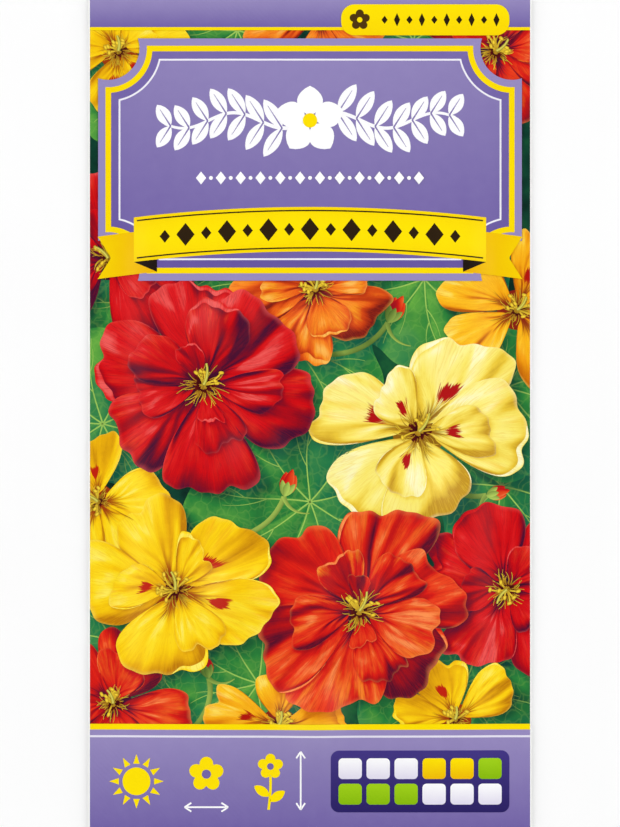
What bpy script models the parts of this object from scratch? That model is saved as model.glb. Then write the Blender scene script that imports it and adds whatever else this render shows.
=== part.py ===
"""A sealed seed packet, lying on its back with a pinch of nasturtium seeds inside.

Two webs of laminated paper are heat-sealed to each other round all four sides. The back web lies
flat. The front web rises over the seeds, which lie loose in one layer on the back web.
Metres. +X is right and +Y is up as the front is read, and +Z points out of the front.
"""

import math
import random

import bmesh
import bpy

PACKET_WIDTH = 0.085
PACKET_HEIGHT = 0.160
SHEET = 0.00025  # thickness of one web
REST_GAP = 0.0003  # between pieces that touch
SIDE_SEAL = 0.006  # width of the seal along the left and right edges
END_SEAL = 0.008  # width of the seal along the top and bottom edges
COLUMNS, ROWS = 30, 48  # faces across and along the front web

PILLOW_RISE = 0.0033  # how far the front web stands off the seal between the seeds
PILLOW_LEAN = 0.15  # share by which the pillow is fuller at the bottom, where the seeds settle
PILLOW_POWER_X, PILLOW_POWER_Y = 2.6, 4.0
BUMP_SPREAD = 0.0062  # how far a seed's bump reaches into the paper round it
BUMP_CLEARANCE = 0.0005  # room over each seed's top, inside the front web
BLEND_POWER = 4.0  # how sharply the bumps merge with the pillow
EDGE_FADE = 0.13  # share of the way to the seal over which the bumps die out

SEED_COUNT = 8
SEED_HALF_LENGTH, SEED_HALF_WIDTH, SEED_HALF_HEIGHT = 0.0030, 0.0026, 0.0025
SEED_SIZE_SPREAD = 0.05  # largest share by which a seed is bigger or smaller
SEED_RIBS = 8
SEED_SEGMENTS, SEED_RINGS = 32, 14
RIB_DEPTH = 0.14  # of the seed's radius
RIB_BEND = 0.5  # how far a rib sways to the side on its way from end to end
WRINKLE_DEPTH = 0.045  # of the seed's radius
WRINKLES_ALONG, WRINKLES_ROUND = 5, 3
WRINKLE_SWAY = 2.0  # how far the wrinkles wander out of line round the seed
FLAT_BELOW = -0.62  # the inner side of a seed is flat past this share of its half height
FLAT_SLOPE = 0.02  # share of its roundness that the flat side keeps
SCATTER_CENTRE_Y = -0.012
SCATTER_REACH_X, SCATTER_REACH_Y = 0.0235, 0.046
FIRST_ANGLE = 0.5  # of the spiral that the seeds lie on
GOLDEN_ANGLE = math.pi * (3 - math.sqrt(5))
RANDOM_SEED = 7

PAPER_COLOUR = (0.36, 0.20, 0.46, 1)
BACK_COLOUR = (0.90, 0.90, 0.88, 1)
SEED_COLOUR = (0.52, 0.39, 0.22, 1)


def clear_scene():
    for obj in list(bpy.data.objects):
        bpy.data.objects.remove(obj, do_unlink=True)


def material(name, colour, roughness):
    made = bpy.data.materials.new(name)
    made.use_nodes = True
    shader = made.node_tree.nodes["Principled BSDF"]
    shader.inputs["Base Color"].default_value = colour
    shader.inputs["Roughness"].default_value = roughness
    shader.inputs["Metallic"].default_value = 0
    return made


def add_object(name, bm, finish):
    mesh = bpy.data.meshes.new(name)
    bm.to_mesh(mesh)
    bm.free()
    mesh.materials.append(finish)
    obj = bpy.data.objects.new(name, mesh)
    bpy.context.scene.collection.objects.link(obj)
    return obj


def scattered_seeds():
    """Places, headings and sizes of the seeds, on a spiral of golden-angle steps in an oval."""
    draw = random.Random(RANDOM_SEED)
    seeds = []
    for index in range(SEED_COUNT):
        reach = math.sqrt((index + 0.5) / SEED_COUNT)
        angle = FIRST_ANGLE + index * GOLDEN_ANGLE
        seeds.append(
            {
                "name": f"seed_{index + 1}",
                "x": SCATTER_REACH_X * reach * math.cos(angle),
                "y": SCATTER_CENTRE_Y + SCATTER_REACH_Y * reach * math.sin(angle),
                "heading": draw.uniform(0, math.tau),
                "size": 1 + draw.uniform(-SEED_SIZE_SPREAD, SEED_SIZE_SPREAD),
                "phase": draw.uniform(0, math.tau),
            }
        )
    return seeds


def seed_height(seed):
    """From the flat inner side to the crown."""
    return SEED_HALF_HEIGHT * seed["size"] * (1 - FLAT_BELOW)


def front_height(x, y, seeds):
    """Height of the front web's outer face: the seal, and inside it the pillow and the bumps over
    the seeds, joined by a power mean that follows whichever is higher."""
    seal = 2 * SHEET + REST_GAP
    across = abs(x) / (PACKET_WIDTH / 2 - SIDE_SEAL)
    along = abs(y) / (PACKET_HEIGHT / 2 - END_SEAL)
    if across >= 1 or along >= 1:
        return seal
    lean = 1 - PILLOW_LEAN * y / (PACKET_HEIGHT / 2)
    pillow = PILLOW_RISE * lean * (1 - across**PILLOW_POWER_X) * (1 - along**PILLOW_POWER_Y)
    total = pillow**BLEND_POWER
    for seed in seeds:
        away = math.hypot(x - seed["x"], y - seed["y"])
        top = seed_height(seed) + BUMP_CLEARANCE
        total += (top * math.exp(-((away / BUMP_SPREAD) ** 2) / 2)) ** BLEND_POWER
    edge_fade = min(1, (1 - across) / EDGE_FADE) * min(1, (1 - along) / EDGE_FADE)
    return seal + pillow + (total ** (1 / BLEND_POWER) - pillow) * edge_fade


def build_back_web(finish):
    """A flat rectangle of paper, which is what the packet lies on."""
    bm = bmesh.new()
    bmesh.ops.create_cube(bm, size=1)
    bmesh.ops.scale(bm, vec=(PACKET_WIDTH, PACKET_HEIGHT, SHEET), verts=bm.verts)
    bmesh.ops.translate(bm, vec=(0, 0, SHEET / 2), verts=bm.verts)
    add_object("back_web", bm, finish)


def build_front_web(seeds, finish):
    """A grid of the packet's outline, lifted to the front's height and thickened inwards."""
    bm = bmesh.new()
    bmesh.ops.create_grid(bm, x_segments=COLUMNS, y_segments=ROWS, size=0.5)
    for vert in bm.verts:
        vert.co.x *= PACKET_WIDTH
        vert.co.y *= PACKET_HEIGHT
        vert.co.z = front_height(vert.co.x, vert.co.y, seeds)
    web = add_object("front_web", bm, finish)
    web.data.shade_smooth()
    wall = web.modifiers.new("paper", "SOLIDIFY")
    wall.thickness = SHEET
    wall.offset = -1  # the grid is the outer face


def ribbed_radius(theta, phi, phase):
    """Share of the smooth radius: rounded ribs from pole to pole with narrow grooves between them,
    crossed by shallow wrinkles. Both fade out at the poles, where the ribs meet."""
    body = math.sin(phi)
    bend = RIB_BEND * math.sin(2 * phi + phase)
    groove = (0.5 + 0.5 * math.cos(SEED_RIBS * theta + bend)) ** 2
    sway = WRINKLE_SWAY * math.sin(WRINKLES_ROUND * theta + phase)
    wrinkle = math.sin(WRINKLES_ALONG * phi + sway)
    return 1 - body * (RIB_DEPTH * groove + WRINKLE_DEPTH * wrinkle)


def build_seed(seed, finish):
    """A ribbed ovoid lying on its flat inner side, its ribs running from end to end."""
    bm = bmesh.new()
    bmesh.ops.create_uvsphere(bm, u_segments=SEED_SEGMENTS, v_segments=SEED_RINGS, radius=1)
    for vert in bm.verts:
        pole, side, up = vert.co.z, vert.co.x, vert.co.y
        share = ribbed_radius(math.atan2(up, side), math.acos(max(-1, min(1, pole))), seed["phase"])
        height = max(up * share, FLAT_BELOW + FLAT_SLOPE * up)
        vert.co.x = pole * share * SEED_HALF_LENGTH * seed["size"]
        vert.co.y = side * share * SEED_HALF_WIDTH * seed["size"]
        vert.co.z = height * SEED_HALF_HEIGHT * seed["size"]
    lowest = min(vert.co.z for vert in bm.verts)
    bmesh.ops.translate(bm, vec=(0, 0, -lowest), verts=bm.verts)
    obj = add_object(seed["name"], bm, finish)
    obj.data.shade_smooth()
    obj.location = (seed["x"], seed["y"], SHEET + REST_GAP)
    obj.rotation_euler = (0, 0, seed["heading"])


def build_packet():
    clear_scene()
    seeds = scattered_seeds()
    build_back_web(material("plain_paper", BACK_COLOUR, 0.6))
    build_front_web(seeds, material("printed_paper", PAPER_COLOUR, 0.35))
    seed_skin = material("seed_skin", SEED_COLOUR, 0.85)
    for seed in seeds:
        build_seed(seed, seed_skin)


build_packet()
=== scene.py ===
"""A sealed nasturtium seed packet, dressed for its photograph.

The front web is a sheet of printed laminate over the pillow of the packet. Its print is laid on it as
thin inlays, one above another like passes of ink: leaves, blooms, bands, ornament and pictograms.
Each petal is a fan-shaped surface whose drawn light is worked out from a relief that is only pictured.
Places on the print are in millimetres from the packet's middle, +X to the right and +Y up.
"""

import math
from dataclasses import dataclass
from functools import reduce

import bmesh
import bpy
import numpy as np
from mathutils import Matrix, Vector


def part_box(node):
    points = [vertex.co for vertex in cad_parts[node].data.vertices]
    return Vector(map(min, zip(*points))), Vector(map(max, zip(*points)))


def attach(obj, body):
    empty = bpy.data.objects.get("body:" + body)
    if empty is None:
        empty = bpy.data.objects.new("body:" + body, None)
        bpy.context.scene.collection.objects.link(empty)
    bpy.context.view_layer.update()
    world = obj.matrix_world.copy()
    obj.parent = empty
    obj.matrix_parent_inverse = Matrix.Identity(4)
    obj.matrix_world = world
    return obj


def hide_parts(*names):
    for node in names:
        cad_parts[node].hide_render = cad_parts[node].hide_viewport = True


bl_info = {
    "name": "Nasturtium seed packet",
    "version": (1, 0, 0),
    "blender": (4, 5, 0),
    "location": "View3D > Sidebar > Packet",
    "description": "Builds the printed webs, the picture and the seeds of a sealed seed packet",
    "category": "Add Mesh",
}

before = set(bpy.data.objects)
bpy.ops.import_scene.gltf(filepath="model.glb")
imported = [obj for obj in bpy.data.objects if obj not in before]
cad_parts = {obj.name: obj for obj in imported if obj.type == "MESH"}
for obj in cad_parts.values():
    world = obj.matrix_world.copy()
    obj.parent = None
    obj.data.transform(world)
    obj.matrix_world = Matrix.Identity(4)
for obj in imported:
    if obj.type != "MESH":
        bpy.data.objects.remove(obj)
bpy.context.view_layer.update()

MM = 0.001
FRONT_LOW, FRONT_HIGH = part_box("front_web")
BACK_LOW, BACK_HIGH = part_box("back_web")
HALF_WIDTH, HALF_HEIGHT = FRONT_HIGH.x / MM, FRONT_HIGH.y / MM
SEED_NODES = sorted(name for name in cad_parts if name.startswith("seed_"))
SEED_BOXES = [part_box(name) for name in SEED_NODES]

SEED_ROOM = 0.0005  # over each seed's top, inside the front web
PILLOW_LEAN, PILLOW_POWERS = 0.15, (2.6, 4)
BUMP_POWER, BUMP_FADE, FADE_EASE = 4, 0.13, 0.1
CREASE_EASE, SEAL_CLOSING, RIPPLE_START, CRIMP_PITCH = 0.045, 0.006, 0.004, 0.0011
WRINKLE_DEPTH, WRINKLE_START = 0.00004, 0.0008  # the second is how far up a seed they come in
BACK_HEADER, BACK_FOOTER, FRAME_LINE = 0.026, 0.014, 0.0002
FRAME_SIDE, FRAME_END = 0.009, 0.034  # from the packet's edges to the frame on the back
LIGHT_PLACE, LIGHT_SIZE = (1.25, 0.25, 0.72), 1.2  # of the right light; the left one mirrors it
SURROUND_FADE, OVERHEAD_SHARE = (0.50, 0.86), 0.04  # from the horizon at a half to overhead at one

LIGHT_IN_PICTURE = np.array([-0.42, 0.50, 0.76]) / np.linalg.norm([-0.42, 0.50, 0.76])
LEVEL_TONE, TONE_CONTRAST, GLEAM, GLEAM_POWER = 0.60, 0.95, 0.16, 40
PETAL_START, PETAL_EDGE, CLAW, RIM_POWER = 0.05, 0.985, 0.36, 5.0
PETAL_STEP = 0.45
HIDE_MARGIN = 0.75
CELL = 0.5  # spacing of the print's points, and of the cells that count its passes
PRINT_INSET = 0.02 * MM  # from the packet's edges to where the print is cut off

STRIP_FOOT, BAND_TOP = 74.6, -61.0
STRIP_LINE, BAND_LINE, THIN_LINE, THIN_DROP = 0.6, 1.1, 0.4, 1.1
PLAQUE_CENTRE, PLAQUE_HALF, PLAQUE_SCOOP = (0.0, 49.0), (39.0, 21.5), 8.0
HALO, YELLOW_LINE, WHITE_LINE, PANEL = (-1.9, -0.4), (-0.5, 0.6), (2.05, 2.40), 2.2
BANNER_MIDDLE, BANNER_SAG, SAG_REACH, BANNER_REACH, BANNER_HALF = 35.5, 2.2, 36, 34.0, 4.3
BANNER_LINE, BANNER_LOZENGES, LOZENGE_REACH = 3.6, 15, 28.0
TAIL_START, TAIL_LENGTH, TAIL_DROP, TAIL_HALF, TAIL_CLEFT, FOLD_DROP = 29.5, 11.5, 2.6, 4.1, 2.6, 2.4
GARLAND_CENTRE, GARLAND_HALF, GARLAND_PLACES = (0.0, 56.5), 28.0, 16
DOTS_CENTRE, DOTS_HALF, DOTS = (0.0, 45.4), 21.0, 23
TAB = (6.0, 73.0, HALF_WIDTH - 4.0, 79.0)  # left, low, right and high, as in CALENDAR
CALENDAR = (4.0, -77.0, 38.5, -65.0)
SUN, FOOT_FLOWER, SPROUT = (-33.5, -71.0), (-20.0, -69.6), (-8.0, -76.5)
WIDTH_ARROW, HEIGHT_ARROW = ((-24.2, -76.0), (-15.8, -76.0)), ((-1.8, -76.5), (-1.8, -65.2))

PETAL_PARTS = ("shade", "deep", "body", "light", "glow", "flame", "throat")
PETAL_INKS = {
    "crimson": (
        (70, 6, 46), (146, 2, 24), (206, 2, 12), (222, 22, 28), (240, 92, 88),
        (232, 62, 28), (52, 6, 40),
    ),
    "scarlet": (
        (88, 8, 38), (176, 12, 18), (220, 26, 16), (236, 66, 28), (252, 146, 80),
        (250, 146, 36), (60, 10, 44),
    ),
    "orange": (
        (118, 22, 16), (198, 58, 10), (236, 98, 22), (250, 138, 34), (255, 190, 88),
        (252, 186, 30), (96, 8, 30),
    ),
    "amber": (
        (172, 80, 0), (224, 132, 4), (248, 172, 14), (255, 200, 34), (255, 228, 104),
        (244, 128, 18), (128, 14, 14),
    ),
    "yellow": (
        (190, 122, 2), (234, 174, 4), (252, 208, 8), (255, 225, 36), (255, 239, 104),
        (248, 178, 14), (150, 36, 8),
    ),
    "cream": (
        (196, 148, 26), (238, 202, 58), (252, 234, 108), (255, 245, 150), (255, 252, 206),
        (250, 204, 50), (140, 90, 12),
    ),
}
BODY_SHARES, FLAME_SHARES = (0.0, 0.26, 0.48, 0.78, 1.0), (0.10, 0.40, 0.64, 1.0)
FLAME_PARTS = ("shade", "deep", "flame", "glow")
BLOTCHES = {"cream": (0.15, (176, 10, 14)), "yellow": (0.62, (190, 30, 6)), "amber": (0.55, (176, 16, 4))}

# Material slots of a bloom, the leaves, the header, the foot and the ribbon
PETAL, THROAT, STAMEN, PISTIL = range(4)
LEAF, RIB, STEM, BUD = range(4)
VIOLET, YELLOW, WHITE, DARK = range(4)
PLATE, LIME = 3, 4  # after the header's violet, yellow and white
RIBBON, SHADOW = range(2)


def srgb(red, green, blue):
    """A print colour given as 0 to 255, as linear light with full opacity."""
    share = np.array([red, green, blue]) / 255
    linear = np.where(share <= 0.04045, share / 12.92, ((share + 0.055) / 1.055) ** 2.4)
    return (*linear.tolist(), 1.0)


def colour_property(name, description, colour):
    return bpy.props.FloatVectorProperty(
        name=name, description=description, default=srgb(*colour), size=4, min=0, max=1, subtype="COLOR"
    )


def length_property(name, description, default):
    return bpy.props.FloatProperty(
        name=name,
        description=description,
        default=default,
        min=0,
        precision=6,
        subtype="DISTANCE",
        unit="LENGTH",
    )


class PacketSizes(bpy.types.PropertyGroup):
    """How the two webs lie, and how thick the print is on them."""

    side_seal: length_property("Side seal", "Width of the seal along the left and right edges", 0.006)
    end_seal: length_property("End seal", "Width of the seal along the top and bottom edges", 0.008)
    sheet: length_property("Web", "Thickness of one web", 0.00025)
    pillow: length_property("Pillow", "How far the front web stands off the seal between the seeds", 0.0033)
    bump: length_property("Bump", "How far a seed's bump reaches into the paper round it", 0.0062)
    pucker: length_property("Pucker", "Depth of the ripples that run in from the seals", 0.00009)
    grid: length_property("Web grid", "Spacing of the points of the front web", 0.0007)
    pass_height: length_property("Pass", "Height of one pass of print over the one below", 0.000005)


class PrintColours(bpy.types.PropertyGroup):
    """The flat inks of the print."""

    paper: colour_property("Paper", "Bare white paper", (246, 246, 243))
    violet: colour_property("Violet", "Frame on the back", (124, 104, 176))
    violet_light: colour_property("Light violet", "Upper tone of the bands", (151, 139, 190))
    violet_dark: colour_property("Dark violet", "Lower tone of the bands", (98, 80, 156))
    deep_violet: colour_property("Deep violet", "Ground of the calendar plate", (42, 32, 97))
    yellow: colour_property("Yellow", "Ribbon and lines", (255, 228, 0))
    gold: colour_property("Gold", "Shaded side of the ribbon", (236, 172, 0))
    lime: colour_property("Lime", "Boxes of the flowering months", (160, 208, 24))
    leaf_green: colour_property("Leaf green", "Body of a leaf", (42, 126, 56))
    leaf_dark: colour_property("Leaf shade", "Shade of a leaf", (12, 54, 44))
    leaf_light: colour_property("Leaf light", "Lit side of a leaf", (104, 174, 66))
    vein: colour_property("Vein", "Veins of a leaf", (166, 210, 96))


class PetalColours(bpy.types.PropertyGroup):
    """Seven inks for each kind of bloom: from its shade to its highlight, its flames and its throat."""

    __annotations__ = {
        f"{kind}_{part}": colour_property(
            f"{kind} {part}".capitalize(), f"The {part} ink of a {kind} bloom", colour
        )
        for kind, colours in PETAL_INKS.items()
        for part, colour in zip(PETAL_PARTS, colours)
    }


class StageSettings(bpy.types.PropertyGroup):
    """Camera, lights and floor."""

    distance: length_property("Camera distance", "Height of the camera over the packet", 1.4)
    frame_height: length_property("Frame height", "Height of the photograph's frame at the packet", 0.1597)
    sensor: length_property("Sensor", "Height of the camera's sensor", 0.024)
    key: bpy.props.FloatProperty(
        name="Key", description="Power of each side light", default=8.6, min=0, unit="POWER"
    )
    sky: bpy.props.FloatProperty(name="Sky", description="Strength of the pale surround", default=1.42, min=0)
    floor: colour_property("Floor", "Paler tone of the floor", (252, 252, 252))


def ink(name):
    return tuple(getattr(bpy.context.scene.packet_print, name))


class Nodes:
    """Short calls for the procedural nodes that the materials and the surround need."""

    def __init__(self, tree):
        self.tree = tree

    def feed(self, socket, value):
        if isinstance(value, bpy.types.NodeSocket):
            self.tree.links.new(value, socket)
        else:
            socket.default_value = value

    def node(self, kind, inputs, **settings):
        """A new node with the settings, and with its inputs fed by name or by number."""
        made = self.tree.nodes.new(kind)
        for key, value in settings.items():
            setattr(made, key, value)
        for key, value in inputs.items():
            self.feed(made.inputs[key], value)
        return made

    def calc(self, operation, *values):
        """A Math node: the operation's name, then its numbers or sockets."""
        return self.node("ShaderNodeMath", dict(enumerate(values)), operation=operation).outputs[0]

    def total(self, *values):
        return reduce(lambda found, value: self.calc("ADD", found, value), values)

    def product(self, *values):
        return reduce(lambda found, value: self.calc("MULTIPLY", found, value), values)

    def swing(self, value, amount):
        """A share from 0 to 1 turned into a swing of that amount round nought."""
        return self.calc("MULTIPLY_ADD", value, amount, -amount / 2)

    def range(self, value, low, high, to_low=0.0, to_high=1.0):
        """Value carried smoothly from low..high to to_low..to_high."""
        inputs = {"Value": value, "From Min": low, "From Max": high, "To Min": to_low, "To Max": to_high}
        return self.node("ShaderNodeMapRange", inputs, interpolation_type="SMOOTHSTEP").outputs["Result"]

    def parts(self, vector):
        """The vector's three parts."""
        return self.node("ShaderNodeSeparateXYZ", {0: vector}).outputs


class Shader(Nodes):
    """A material of procedural nodes."""

    def __init__(self, name, roughness, specular=0.24):
        self.material = bpy.data.materials.new(name)
        self.material.use_nodes = True
        super().__init__(self.material.node_tree)
        self.surface = self.tree.nodes["Principled BSDF"]
        self.surface.inputs["Roughness"].default_value = roughness
        self.surface.inputs["Specular IOR Level"].default_value = specular
        self.place = self.node("ShaderNodeTexCoord", {}).outputs["Object"]

    def mix(self, factor, first, second):
        inputs = {"Factor": factor, 6: first, 7: second}
        return self.node("ShaderNodeMix", inputs, data_type="RGBA").outputs[2]

    def ramp(self, value, *stops):
        """Colours at the given shares, joined in straight lines."""
        made = self.node("ShaderNodeValToRGB", {"Fac": value})
        elements = made.color_ramp.elements
        while len(elements) < len(stops):
            elements.new(0.5)
        for element, (share, colour) in zip(elements, stops):
            element.position = share
            element.color = colour
        return made.outputs["Color"]

    def noise(self, scale, detail=2.0, roughness=0.5, vector=None):
        inputs = {"Vector": vector or self.place, "Scale": scale, "Detail": detail, "Roughness": roughness}
        return self.node("ShaderNodeTexNoise", inputs).outputs["Fac"]

    def scaled(self, vector, scale):
        return self.node("ShaderNodeMapping", {"Vector": vector, "Scale": scale}).outputs["Vector"]

    def tone(self):
        return self.node("ShaderNodeAttribute", {}, attribute_name="tone").outputs["Fac"]

    def bump(self, height, strength, distance):
        made = self.node("ShaderNodeBump", {"Height": height, "Strength": strength, "Distance": distance})
        self.feed(self.surface.inputs["Normal"], made.outputs["Normal"])

    def laminate(self):
        """Faint slanting crimps in the seals, and the fibres that show through the film."""
        x, y, _ = self.parts(self.place)
        sizes = bpy.context.scene.packet_sizes
        sealed = self.calc(
            "MAXIMUM",
            self.past_seal(x, FRONT_HIGH.x - sizes.side_seal),
            self.past_seal(y, FRONT_HIGH.y - sizes.end_seal),
        )
        crimp = self.calc("SINE", self.product(self.total(x, y), math.tau / CRIMP_PITCH))
        crimped = self.product(crimp, self.product(sealed, 0.5))
        self.bump(self.total(crimped, self.noise(900, 3)), 0.2, 0.00003)

    def past_seal(self, way, edge):
        """How far into the seal a place is: nought to one over a millimetre about the seal's edge."""
        return self.range(self.calc("ABSOLUTE", way), edge - 0.5 * MM, edge + 0.5 * MM)

    def finish(self, colour):
        self.feed(self.surface.inputs["Base Color"], colour)
        return self.material


def inked(name, dark, light):
    """A flat ink that runs from dark to light with the drawn tone, with the mottle of offset print."""
    made = bpy.data.materials.get(name)
    if made:
        return made
    shader = Shader(name, 0.3)
    value = shader.total(shader.tone(), shader.swing(shader.noise(420, 4), 0.14))
    shader.laminate()
    return shader.finish(shader.ramp(value, (0.0, dark), (1.0, light)))


def petal_material(kind):
    """Drawn tone, streaked by noise drawn out along the veins, chooses among the bloom's inks.

    Flames of a second hue run in from the rim, more on some petals than on others. Thin vein lines,
    a throat that runs up the veins, a paler rim and, on pale blooms, a jagged blotch lie over it."""
    name = f"petal_{kind}"
    made = bpy.data.materials.get(name)
    if made:
        return made
    colours = bpy.context.scene.packet_petals
    inks = {part: tuple(getattr(colours, f"{kind}_{part}")) for part in PETAL_PARTS}
    shader = Shader(name, 0.36)
    chart = shader.node("ShaderNodeUVMap", {}, uv_map="chart").outputs["UV"]
    across, along, _ = shader.parts(chart)
    number = shader.calc("FLOOR", shader.calc("DIVIDE", across, 3.0))
    petal = shader.node("ShaderNodeTexWhiteNoise", {"W": number}, noise_dimensions="1D").outputs["Value"]
    streaks = shader.noise(1.0, 3, 0.6, shader.scaled(chart, (11, 1.3, 1)))
    threads = shader.noise(1.0, 2, 0.55, shader.scaled(chart, (46, 2.0, 1)))
    blush = shader.noise(130, 3)
    value = shader.total(
        shader.tone(),
        shader.swing(streaks, 0.26),
        shader.swing(threads, 0.20),
        shader.swing(blush, 0.34),
        shader.swing(shader.noise(1500, 2), 0.08),
    )
    colour = shader.ramp(value, *zip(BODY_SHARES, (inks[part] for part in PETAL_PARTS)))
    licks = shader.total(shader.product(streaks, 0.75), shader.product(blush, 0.25))
    reached = shader.product(shader.range(licks, 0.44, 0.62), shader.range(along, 0.25, 0.95))
    hot = shader.product(reached, shader.range(petal, 0.25, 1.0, 0.08, 0.85))
    flames = shader.ramp(value, *zip(FLAME_SHARES, (inks[part] for part in FLAME_PARTS)))
    colour = shader.mix(hot, colour, flames)
    off_vein = shader.calc("ABSOLUTE", shader.calc("MULTIPLY_ADD", threads, 2.0, -1.0))
    colour = shader.mix(shader.range(off_vein, 0.10, 0.0, 0.0, 0.34), colour, inks["deep"])
    reach = shader.total(along, shader.swing(streaks, -0.45), shader.swing(threads, -0.35))
    colour = shader.mix(shader.range(reach, 0.34, 0.12, 0.0, 0.92), colour, inks["throat"])
    if kind in BLOTCHES:
        least, blotch = BLOTCHES[kind]
        inside = in_blotch(shader, across, along, streaks, threads)
        inside = shader.product(inside, shader.calc("GREATER_THAN", petal, least))
        colour = shader.mix(inside, colour, srgb(*blotch))
    edge = shader.total(along, shader.swing(blush, 0.16))
    colour = shader.mix(shader.range(edge, 0.95, 1.06, 0.0, 0.55), colour, inks["glow"])
    shader.laminate()
    return shader.finish(colour)


def in_blotch(shader, across, along, streaks, threads):
    """Whether a place is near enough to one point low on the petal map, with a jagged edge."""
    side = shader.calc("MULTIPLY_ADD", shader.calc("FRACT", across), 4.0, -2.0)
    up = shader.calc("MULTIPLY_ADD", along, 5.4, -2.3)
    away = shader.calc("SQRT", shader.total(shader.product(side, side), shader.product(up, up)))
    jagged = shader.total(away, shader.swing(streaks, 1.8), shader.swing(threads, 1.2))
    return shader.range(jagged, 0.72, 0.55)


def leaf_material():
    """Leaf greens chosen by the drawn tone, with a net of small veins between the ribs."""
    shader = Shader("leaf", 0.3)
    wander = shader.node("ShaderNodeTexNoise", {"Vector": shader.place, "Scale": 260}).outputs["Color"]
    inputs = {0: wander, 1: (0.004, 0.004, 0.004), 2: shader.place}
    bent = shader.node("ShaderNodeVectorMath", inputs, operation="MULTIPLY_ADD").outputs["Vector"]
    cells = shader.node("ShaderNodeTexVoronoi", {"Vector": bent, "Scale": 440}, feature="DISTANCE_TO_EDGE")
    net = shader.range(cells.outputs["Distance"], 0.10, 0.0, 0.0, 0.10)
    value = shader.total(
        shader.tone(), shader.swing(shader.noise(150, 4), 0.7), shader.swing(shader.noise(1400, 2), 0.12)
    )
    colour = shader.ramp(value, (0.05, ink("leaf_dark")), (0.50, ink("leaf_green")), (1.0, ink("leaf_light")))
    cool = shader.range(shader.noise(60, 2), 0.45, 0.62, 0.0, 0.45)
    colour = shader.mix(cool, colour, srgb(20, 112, 84))
    shader.laminate()
    return shader.finish(shader.mix(net, colour, ink("vein")))


def paper_material():
    """Bare paper: white, faintly mottled, with fibres raised in it."""
    shader = Shader("bare_paper", 0.7, 0.25)
    fibres = shader.noise(2400, 3, vector=shader.scaled(shader.place, (1, 2.5, 1)))
    shader.bump(fibres, 0.3, 0.00002)
    return shader.finish(shader.ramp(shader.noise(260, 4), (0.2, srgb(232, 231, 226)), (0.8, ink("paper"))))


def backdrop_material():
    """The dark greens behind the picture: soft clouds of blue-green and leaf green."""
    shader = Shader("backdrop_print", 0.3)
    shares = (0.38, 0.50, 0.62, 0.74)
    greens = (srgb(4, 26, 22), srgb(12, 62, 46), srgb(28, 96, 50), srgb(74, 134, 60))
    value = shader.total(
        shader.product(shader.noise(70, 5, 0.6), 0.7), shader.product(shader.noise(230, 3), 0.3)
    )
    shader.laminate()
    return shader.finish(shader.ramp(value, *zip(shares, greens)))


def back_print_material():
    """The back's print: a violet band at each end and a thin frame between them."""
    shader = Shader("back_print", 0.5, 0.3)
    x, y, _ = shader.parts(shader.place)
    header = shader.calc("GREATER_THAN", y, FRONT_HIGH.y - BACK_HEADER)
    footer = shader.calc("LESS_THAN", y, BACK_FOOTER - FRONT_HIGH.y)
    clouds = shader.noise(300, 4)
    colour = shader.ramp(clouds, (0.0, srgb(228, 227, 222)), (1.0, ink("paper")))
    violet = shader.ramp(clouds, (0.0, ink("violet_dark")), (1.0, ink("violet_light")))
    away_x = shader.calc("SUBTRACT", FRONT_HIGH.x - FRAME_SIDE, shader.calc("ABSOLUTE", x))
    away_y = shader.calc("SUBTRACT", FRONT_HIGH.y - FRAME_END, shader.calc("ABSOLUTE", y))
    to_frame = shader.calc("ABSOLUTE", shader.calc("MINIMUM", away_x, away_y))
    colour = shader.mix(shader.calc("LESS_THAN", to_frame, FRAME_LINE), colour, ink("violet"))
    return shader.finish(shader.mix(shader.calc("MAXIMUM", header, footer), colour, violet))


def seed_material():
    """Corky tan skin, darker in its grooves and speckled."""
    shader = Shader("seed_skin", 0.85, 0.2)
    cork = shader.noise(900, 5, 0.65)
    shares = (0.3, 0.5, 0.7)
    colour = shader.ramp(cork, *zip(shares, (srgb(112, 78, 42), srgb(160, 124, 78), srgb(196, 166, 116))))
    colour = shader.mix(shader.range(shader.noise(3800, 2), 0.62, 0.72, 0.0, 0.5), colour, srgb(84, 56, 30))
    shader.bump(cork, 0.6, 0.0001)
    return shader.finish(colour)


def smooth_step(value):
    """Nought to one with level ends: three times the square less twice the cube."""
    held = np.clip(value, 0, 1)
    return held * held * (3 - 2 * held)


def eased(value, soft):
    """The larger of value and nought, with the corner at nought rounded over soft."""
    return (value + np.sqrt(value**2 + soft**2)) / 2 - soft**2 / 4


def ripple(along, inside, turns, sway, slow_turns, phase, reach):
    """A sine along a seal, its phase swayed by a slower one, that dies out inwards over a reach."""
    return np.sin(along * turns + sway * np.sin(along * slow_turns + phase)) * np.exp(-inside / reach)


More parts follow.
